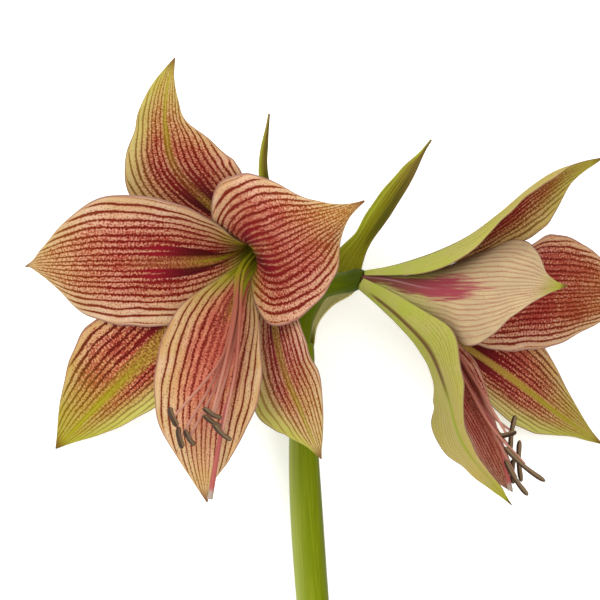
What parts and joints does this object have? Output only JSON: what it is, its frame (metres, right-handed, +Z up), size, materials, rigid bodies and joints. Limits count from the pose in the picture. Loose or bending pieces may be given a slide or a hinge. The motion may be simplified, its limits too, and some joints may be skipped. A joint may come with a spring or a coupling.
{
  "type": "amaryllis stem",
  "caption": "Cut amaryllis stem lying on its side: a thick green stalk topped by wide trumpet blooms of veined cream and dark red petals, for floral display.",
  "frame": {"origin": "point on the table under the middle of the bounding box", "axes": "+Y along the stalk from its cut end toward the blooms, +X toward the bloom that is seen from its side, +Z up from the table"},
  "size_m": [0.314, 0.4192, 0.1634],
  "materials": {
    "scape": "smooth living green stalk with a soft waxy sheen",
    "pedicel": "smooth darker green with a soft waxy sheen",
    "spathe": "thin papery olive green, brownish at the tip",
    "sepal": "satin petal, cream with dark red veins and yellow-green midrib and tip",
    "petal": "satin petal, cream with dark red veins and a pale midrib",
    "stamens": "pale pinkish filaments with dull olive-brown anthers",
    "style": "pinkish red with a pale blunt tip"
  },
  "bodies": {
    "root": {"scape": "scape", "spathe_valve_left": "spathe", "spathe_valve_right": "spathe", "left_pedicel_ovary": "pedicel", "left_sepal_top": "sepal", "left_sepal_lower_left": "sepal", "left_sepal_lower_right": "sepal", "left_petal_left": "petal", "left_petal_right": "petal", "left_petal_bottom": "petal", "left_stamens": "stamens", "left_style": "style", "right_pedicel_ovary": "pedicel", "right_sepal_top": "sepal", "right_sepal_near": "sepal", "right_sepal_far": "sepal", "right_petal_near": "petal", "right_petal_far": "petal", "right_petal_bottom": "petal", "right_stamens": "stamens", "right_style": "style"}
  },
  "joints": []
}
